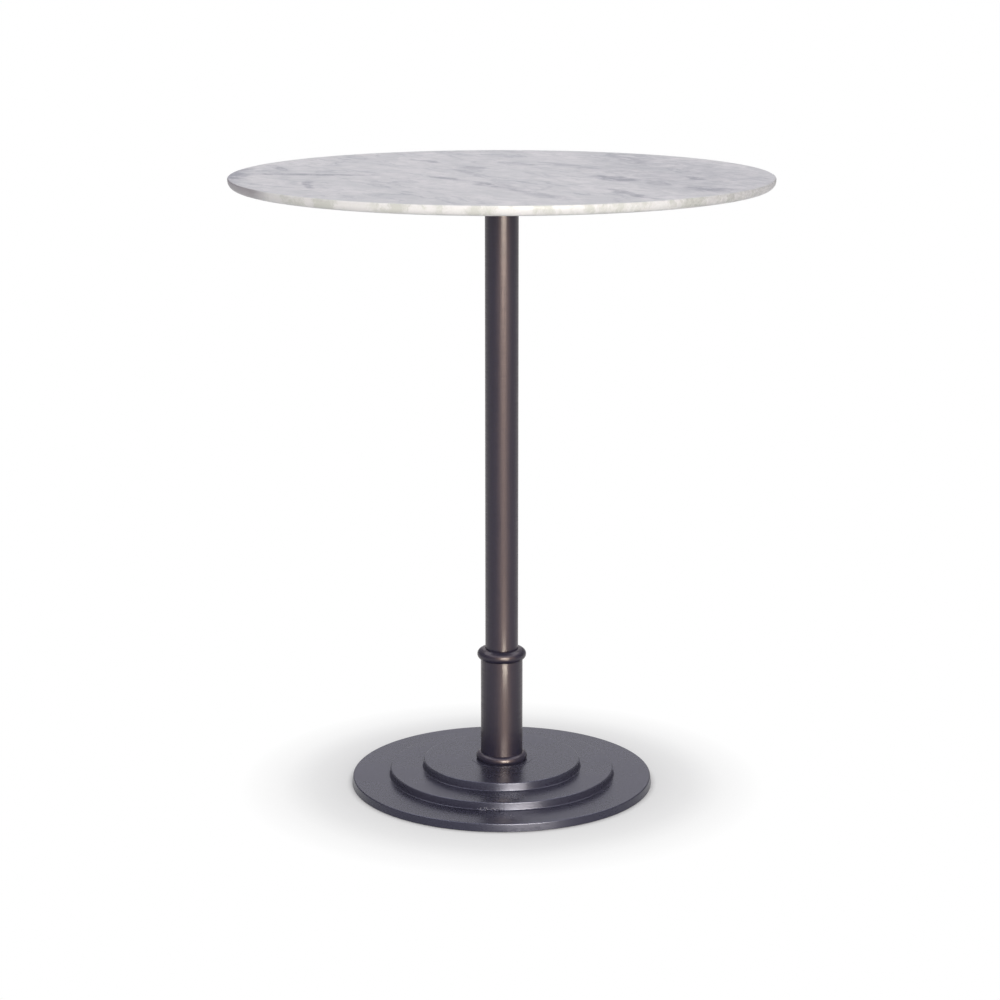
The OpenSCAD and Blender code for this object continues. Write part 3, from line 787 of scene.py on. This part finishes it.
main_rib = rib("main_rib", r1 - 3, BOSS_LOW)
light_rib = rib("light_rib", r2 - 2, BOSS_LOW + 4)
boss = turned("boss", [(BOSS_R, BOSS_LOW), (BOSS_R + 1, t1 - 2)], 64)
glide_spots = {"rear_right": 45, "rear_left": 135, "front_left": 225, "front_right": 315}
parts = [copied(main_rib, turn=turn) for turn in glide_spots.values()]
parts += [copied(light_rib, turn=turn) for turn in (0, 90, 180, 270)]
around = {place: polar(GLIDE_REACH, turn) for place, turn in glide_spots.items()}
parts += [copied(boss, (x, y, 0)) for x, y in around.values()]
for part in parts:
    combined(base, part, "UNION")
removed(main_rib, light_rib, boss)
GLIDE_HOLE_R = 4.05
GLIDE_HOLE_TOP = 12.6
drilled(base, GLIDE_HOLE_R, 0, GLIDE_HOLE_TOP, around.values(), 48)

# %% [markdown]
# Where the middle wall meets the lowest tread, on the left of the front, the real casting has
# a crust of small grains: sand that stuck in the fillet and was lacquered over. Each grain is
# a small ball, squashed and sunk half way, and all of them are fused to the shell at once.

# %% Grains in the fillet
GRAINS_EAST = (-51, -48, -45, -41.5, -38, -27, -24, -20.5, -17.5, -13.5, -10, -7, -3.5, 0, 3.5)
chance = Random(7)
grains = []
for east in GRAINS_EAST:
    size = chance.uniform(1.0, 1.4)
    reach = r2 + chance.uniform(-0.6, 1.0)
    spot_at = (east, -sqrt(reach ** 2 - east ** 2), t1 + chance.uniform(0.8, 2.6))
    take()
    bpy.ops.mesh.primitive_ico_sphere_add(
        subdivisions=3, radius=size * MM, location=Vector(spot_at) * MM,
        scale=(chance.uniform(0.8, 1.2), chance.uniform(0.7, 1.0), chance.uniform(0.6, 1.0)))
    grains.append(named("grain"))
combined(base, merged("grains", *grains), "UNION")
fitted(base, cast_lacquer, "table", "bronze_casting", "base_casting", smooth=28)

# %% [markdown]
# ## The spider
# A black iron casting carries the stone: a hub with a socket for the column, and four arms,
# flat on top, with a rib along each edge underneath like a channel laid open side down. The
# ribs keep a thin arm stiff and fade out before the tip, where it bends least. One arm is
# modelled along +X, its sharp edges are rounded like those of any casting, and it is copied
# round to the diagonals.

# %% Spider
PAD_T = 1.5
PLATE_T = 6
ARM_DEPTH = 30
ARM_TOP = slab_low.z - PAD_T
ARM_UNDER = ARM_TOP - PLATE_T
ARM_REACH = SCREW_REACHES[1]
ROOT_HALF, TIP_HALF = 27, 17
CHANNEL_END = 212  # here the two ribs of an arm have faded out
SCREW_HOLE_R = 3.6
SCREWS_ALONG = [(reach, 0) for reach in SCREW_REACHES]


def round_ended(piece, radius, low, high):
    """Fuses a half-round end to a piece that reaches out along +X to the outer screw."""
    tip = turned("tip", [(radius, low), (radius, high)], 72)
    return combined(piece, spread("tip", tip, [(ARM_REACH, 0)]), "UNION")


arm = block("arm", 34, ARM_REACH, ROOT_HALF, TIP_HALF, ARM_TOP - ARM_DEPTH, ARM_TOP)
bpy.ops.object.mode_set(mode="EDIT")
cut_at((42, CHANNEL_END))
pick("VERT", lambda v: v.co.x > (CHANNEL_END - 1) * MM and v.co.z < ARM_UNDER * MM)
bpy.ops.transform.translate(value=(0, 0, (ARM_DEPTH - PLATE_T) * MM))
bpy.ops.object.mode_set(mode="OBJECT")
round_ended(arm, TIP_HALF, ARM_UNDER, ARM_TOP)
bevelled(arm, 1.2)
channel = block("channel", 44, CHANNEL_END, 22, 12, ARM_TOP - 45, ARM_UNDER)
combined(arm, bevelled(channel, 2.5, 4), "DIFFERENCE")
drilled(arm, SCREW_HOLE_R, ARM_UNDER - 3, ARM_TOP + 3, SCREWS_ALONG)

SOCKET_TOP = column_high.z
SOCKET_LOW = SOCKET_TOP - 18
RECESS_FLOOR = SOCKET_TOP + 8
RECESS_R = 15
section = rounded([
    (ROD_HOLE_R, SOCKET_TOP, 0.4), (collar_bore, SOCKET_TOP, 0.6),
    (collar_bore, SOCKET_LOW, 0.8), (40, SOCKET_LOW, 1.5), (42, ARM_TOP, 0.6),
    (RECESS_R, ARM_TOP, 0.8), (RECESS_R, RECESS_FLOOR, 0.6), (ROD_HOLE_R, RECESS_FLOOR, 0.4)],
    step=15)
spider = turned("spider", section + section[:1], sides=128)
for arm_turn in range(ARM_COUNT):
    combined(spider, copied(arm, turn=DIAGONAL + 90 * arm_turn), "UNION")
removed(arm)
fitted(spider, iron_enamel, "table", "black_iron", "top_spider")

# %% [markdown]
# Rubber strips lie between arms and stone, so that iron never touches marble. They have the
# outline of the arm, drawn in by two millimetres.

# %% Arm pads
PAD_INSET = 2
pad = block("pad", 46, ARM_REACH, ROOT_HALF - PAD_INSET, TIP_HALF - PAD_INSET, ARM_TOP,
            slab_low.z)
round_ended(pad, TIP_HALF - PAD_INSET, ARM_TOP, slab_low.z)
drilled(pad, SCREW_HOLE_R, ARM_TOP - 3, slab_low.z + 3, SCREWS_ALONG)
pads = merged("pads", *[copied(pad, turn=DIAGONAL + 90 * k) for k in range(ARM_COUNT)])
removed(pad)
fitted(pads, black_rubber, "table", "pad_rubber", "arm_pads")

# %% [markdown]
# ## Fasteners
# Brass inserts are pressed into the stone and hold by their knurls: every second vertex of a
# turned sleeve is drawn in, which leaves straight teeth. Pan-head screws with a hexagon socket
# go up through washer, arm and strip. Their threads are real helices, because a screw seen
# from below is the first thing that gives a drawn-on thread away.

# %% Inserts
INSERT_R = 4.75
INSERT_BORE_R = 3.05
INSERT_TOP = slab_low.z + 10
insert = turned("insert", [(INSERT_R - 0.4, slab_low.z), (INSERT_R, slab_low.z + 0.5),
                           (INSERT_R, INSERT_TOP - 1), (INSERT_R - 0.5, INSERT_TOP)], 64)
bpy.ops.object.mode_set(mode="EDIT")
pick("VERT", lambda v: v.index % 2)
bpy.ops.transform.resize(value=(0.94, 0.94, 1), center_override=(0, 0, 0))
bpy.ops.object.mode_set(mode="OBJECT")
drilled(insert, INSERT_BORE_R, slab_low.z - 1, INSERT_TOP + 1, [(0, 0)])
inserts = spread("inserts", insert, screw_spots)
fitted(inserts, turned_brass, "table", "insert_brass", "threaded_inserts")

# %% Screws and their washers
WASHER_LOW = ARM_UNDER - 1.2
HEAD_LOW = WASHER_LOW - 3.6
HEAD_R = 6
SOCKET_R = 2.28
SOCKET_DEPTH = 2.16
washer = ring("washer", 7, 3.3, WASHER_LOW, ARM_UNDER, 0.2, 64)
washers = spread("washers", washer, screw_spots)
fitted(washers, zinc_plate, "table", "zinc_steel", "spider_washers")

screw = turned("screw", rounded([(2.8, HEAD_LOW, 0), (HEAD_R, HEAD_LOW, 1.8),
                                 (HEAD_R, WASHER_LOW, 0.2), (2.8, WASHER_LOW, 0)]), 64)
socket = turned("socket", [(SOCKET_R, HEAD_LOW - 1), (SOCKET_R, HEAD_LOW + SOCKET_DEPTH)], 6)
combined(screw, socket, "DIFFERENCE")
SCREW_TOP = slab_low.z + 7.5
shank = threaded("shank", [(3, WASHER_LOW - 0.6), (3, SCREW_TOP - 0.7), (2.3, SCREW_TOP)], 1.0)
combined(screw, shank, "UNION")
screws = spread("screws", screw, screw_spots)
fitted(screws, zinc_plate, "table", "zinc_steel", "spider_screws")

# %% [markdown]
# One long rod clamps spider, column and base together. Only its ends are threaded, so the bar
# between them is thinner, as a rolled thread leaves it. The nuts are hexagon bars crossed with
# a turned blank, which rounds off their six corners as on any bought nut.

# %% Tie rod, nuts and large washers
rod_low, rod_high = levels("tie_rod")
ROD_R = 6
ROD_CORE_R = 5.3
ROD_PITCH = 1.75
THREAD_LONG = 40
rod = turned("rod", [(ROD_CORE_R, rod_low.z + THREAD_LONG - 2),
                     (ROD_CORE_R, rod_high.z - THREAD_LONG + 2)], 48)
lower_end = threaded("lower_end", [(ROD_R - 1, rod_low.z), (ROD_R, rod_low.z + 1),
                                   (ROD_R, rod_low.z + THREAD_LONG)], ROD_PITCH)
upper_end = threaded("upper_end", [(ROD_R, rod_high.z - THREAD_LONG), (ROD_R, rod_high.z - 1),
                                   (ROD_R - 1, rod_high.z)], ROD_PITCH)
combined(rod, lower_end, "UNION")
combined(rod, upper_end, "UNION")
fitted(rod, zinc_plate, "table", "zinc_steel", "tie_rod")

NUT_FLATS = 19
NUT_BORE_R, NUT_MOUTH_R = 6.05, 6.9
corner = NUT_FLATS / 2 / cos(pi / 6)
for node in ("upper_nut", "lower_nut"):
    nut_low, nut_high = levels(node)
    nut = turned("nut", [(corner, nut_low.z), (corner, nut_high.z)], 6)
    nut.rotation_euler = (0, 0, radians(30))
    bpy.ops.object.transform_apply(location=True, rotation=True, scale=True)
    face_r, widest = NUT_FLATS / 2 - 0.3, corner + 0.1
    blank = turned("blank", [(face_r, nut_low.z), (widest, nut_low.z + 1),
                             (widest, nut_high.z - 1), (face_r, nut_high.z)], 96)
    combined(nut, blank, "INTERSECT")
    bore = turned("bore", [(NUT_MOUTH_R, nut_low.z - 0.1), (NUT_BORE_R, nut_low.z + 0.8),
                           (NUT_BORE_R, nut_high.z - 0.8), (NUT_MOUTH_R, nut_high.z + 0.1)], 64)
    combined(nut, bore, "DIFFERENCE")
    fitted(nut, zinc_plate, "table", "zinc_steel", node)
for node, outer in (("upper_washer", 12), ("lower_washer", 22)):
    low_at, high_at = levels(node)
    flat = ring(node + "_piece", outer, 6.3, low_at.z, high_at.z, 0.4, 96)
    fitted(flat, zinc_plate, "table", "zinc_steel", node)

# %% [markdown]
# ## Levelling glides
# A moulded nylon foot turns on the flange of a threaded stem, which screws into a boss of the
# base. Both are turned, and each foot and stem is its own piece, because they move on their
# own: the foot slides with the stem along the thread, and only the stem turns.

# %% Glides
foot_section = rounded([
    (0.5, 0, 0), (13, 0, 0.8), (13, 2, 0.3), (7, 3, 0.4), (6.4, 5.3, 0.5), (3.05, 5.3, 0),
    (3.05, 2.65, 0), (4.25, 2.65, 0), (4.25, 1.35, 0), (0.5, 1.35, 0)], step=15)
glide_foot = turned("glide_foot", foot_section, 96)
glide_stem = turned("glide_stem", [(1, 1.4), (4.2, 1.4), (4.2, 2.6), (3, 2.6), (3, 5.35),
                                   (3.2, 5.35), (3.2, 6.2)], 64)
stem_thread = threaded("stem_thread", [(3.4, 5.35), (4, 5.9), (4, 11.5), (3.3, 12.2)], 1.25)
combined(glide_stem, stem_thread, "UNION")
for place, (x, y) in around.items():
    fitted(copied(glide_foot, (x, y, 0)), black_nylon, "glide_" + place, "glide_nylon",
           "glide_foot_" + place)
    fitted(copied(glide_stem, (x, y, 0)), zinc_plate, "glide_" + place + "_stem", "zinc_steel",
           "glide_stem_" + place)
removed(glide_foot, glide_stem)

# %% [markdown]
# ## Light
# The photograph looks like one from a white studio. A soft box just right of the camera and a
# large weak lamp overhead light the table, with an even cool white all round. Glossy lacquer
# shows more of a room than matt paint does, so it gets some lights that only mirrors see: a
# wide glare for the warm streak down the column, a thin strip near the floor for the collar
# and the foot of the table, and a bright band high up for the thin lines on edges and fillets.
# The lamps are hidden from the camera, and through Light Path it sees a white background, so
# nothing is lit harder to whiten it.

# %% World


def looking(tree):
    """Light Path's outputs, and 1 for rays that come from the camera, a mirror or a glass."""
    rays = add(tree, "LightPath").outputs
    seen = rays["Is Camera Ray"]
    for kind in ("Is Glossy Ray", "Is Transmission Ray"):
        seen = add(tree, "Math", {0: seen, 1: rays[kind]}, operation="MAXIMUM").outputs[0]
    return rays, seen


world = bpy.data.worlds.new("studio")
bpy.context.scene.world = world
world.use_nodes = True
tree = world.node_tree
tree.nodes.clear()
rays, seen = looking(tree)
look = add(tree, "SeparateXYZ", {0: add(tree, "TexCoord").outputs["Generated"]})
fore_and_aft = add(tree, "Math", {0: look.outputs["Y"]}, operation="ABSOLUTE")
# The even light is a little stronger from the front and the rear than from the sides
fill = add(tree, "MapRange", {"Value": fore_and_aft.outputs[0], "To Min": 0.28, "To Max": 0.42})
even = add(tree, "Background", {"Color": linear("#ececf4"), "Strength": fill.outputs[0]})
# Mirrors see a bright wall behind the table, a dim room elsewhere and the band high up
sideways = add(tree, "Math", {0: look.outputs["X"]}, operation="ABSOLUTE")
near_middle = add(tree, "MapRange", {"Value": sideways.outputs[0], "From Min": 0.3,
                                     "From Max": 0.12}, interpolation_type="SMOOTHSTEP")
rearward = add(tree, "Math", {0: look.outputs["Y"], 1: 0.0}, operation="GREATER_THAN")
behind = add(tree, "Math", {0: near_middle.outputs[0], 1: rearward.outputs[0]},
             operation="MULTIPLY")
mirrored = add(tree, "MapRange", {"Value": behind.outputs[0], "To Min": 0.32, "To Max": 0.86})
above = add(tree, "MapRange", {"Value": look.outputs["Z"], "From Min": 0.6, "From Max": 0.75,
                               "To Max": 3.2}, interpolation_type="SMOOTHSTEP")
mirrored = add(tree, "Math", {0: mirrored.outputs[0], 1: above.outputs[0]}, operation="ADD")
backdrop = add(tree, "Mix", {"Factor": rays["Is Camera Ray"], 2: mirrored.outputs[0], 3: 1.0},
               data_type="FLOAT")
cast = mixed(tree, rays["Is Camera Ray"], "#fbf9ff", "#ffffff")
white = add(tree, "Background", {"Color": cast, "Strength": backdrop.outputs[0]})
both = add(tree, "MixShader", {0: seen, 1: even.outputs[0], 2: white.outputs[0]})
add(tree, "OutputWorld", {"Surface": both.outputs[0]})

# %% Lamps


def lamp(name, at, towards, size, radiance, hex_code, mirrored_only=False):
    """A rectangular soft lamp that looks at a point, with its power worked out from the
    brightness of its face, where 1 is the white of the background."""
    take()
    bpy.ops.object.light_add(type="AREA", location=at)
    light = bpy.context.object
    light.name = name
    light.data.shape = "RECTANGLE"
    light.data.size, light.data.size_y = size
    light.data.energy = radiance * pi * size[0] * size[1]
    light.data.color = linear(hex_code)[:3]
    light.rotation_euler = (Vector(towards) - Vector(at)).to_track_quat("-Z", "Y").to_euler()
    light.visible_diffuse = not mirrored_only
    light.visible_camera = False
    print(name, round(light.data.energy), "W")


LAMP_AWAY = 4.4
STRIP_AWAY, STRIP_Z = 0.63, 0.045


def aside(turn, height, away=LAMP_AWAY):
    """A spot at the lamps' distance, turned to the right of the table's front."""
    return (away * sin(radians(turn)), -away * cos(radians(turn)), height)


lamp("soft box", aside(7, 1.65), (0, 0, 1.65), (1.6, 2.0), 12, "#fffaf4")
lamp("its glare", aside(15, 1.6), (0, 0, 1.6), (2.6, 2.3), 30, "#fff4e2", mirrored_only=True)
lamp("low strip", aside(17, STRIP_Z, STRIP_AWAY), (0, 0, STRIP_Z), (0.28, 0.03), 80, "#fff4e2",
     mirrored_only=True)
lamp("overhead", (0, 0, 3.6), (0, 0, 0), (2.4, 2.4), 1.37, "#fcfbff")

# %% [markdown]
# ## Floor
# A plain pale floor that ends well outside the view. To the camera and to mirrored rays it adds
# a little light of its own, up to the white of the background. Less is added near the base, in a
# ring out to 0.46 m, which paints a soft shadow halo round the base over the table's own
# shadow. From below it is clear, and a camera down there sees the table.

# %% Floor
take()
bpy.ops.mesh.primitive_plane_add(size=60)
floor = named("floor")
floor_paint = bpy.data.materials.new("matt white floor")
floor_paint.use_nodes = True
tree = floor_paint.node_tree
tree.nodes.clear()
rays, seen = looking(tree)
matt = add(tree, "BsdfDiffuse", {"Color": linear("#e6e6e6")})
from_middle = add(tree, "VectorMath", {0: add(tree, "TexCoord").outputs["Object"]},
                  operation="LENGTH")
# The glow's share is none under the base and grows to full at 0.46 m: the ring held back is a
# painted shadow halo round the base
glow_share_with_painted_halo = add(tree, "ValToRGB", {0: from_middle.outputs["Value"]}, stops=[
    (0.258, 0.0), (0.272, 0.55), (0.33, 0.67), (0.39, 0.87), (0.46, 1.0)])
glow_share_with_painted_halo = add(tree, "Math", {0: seen, 1: glow_share_with_painted_halo.outputs[0]}, operation="MULTIPLY")
glow = add(tree, "Emission", {"Color": linear("#ffffff"), "Strength": 1.0})
surface = add(tree, "MixShader", {0: glow_share_with_painted_halo.outputs[0], 1: matt.outputs[0],
                                  2: glow.outputs[0]})
side = add(tree, "NewGeometry")
surface = add(tree, "MixShader", {0: side.outputs["Backfacing"], 1: surface.outputs[0],
                                  2: add(tree, "BsdfTransparent").outputs[0]})
add(tree, "OutputMaterial", {"Surface": surface.outputs[0]})
floor.data.materials.append(floor_paint)
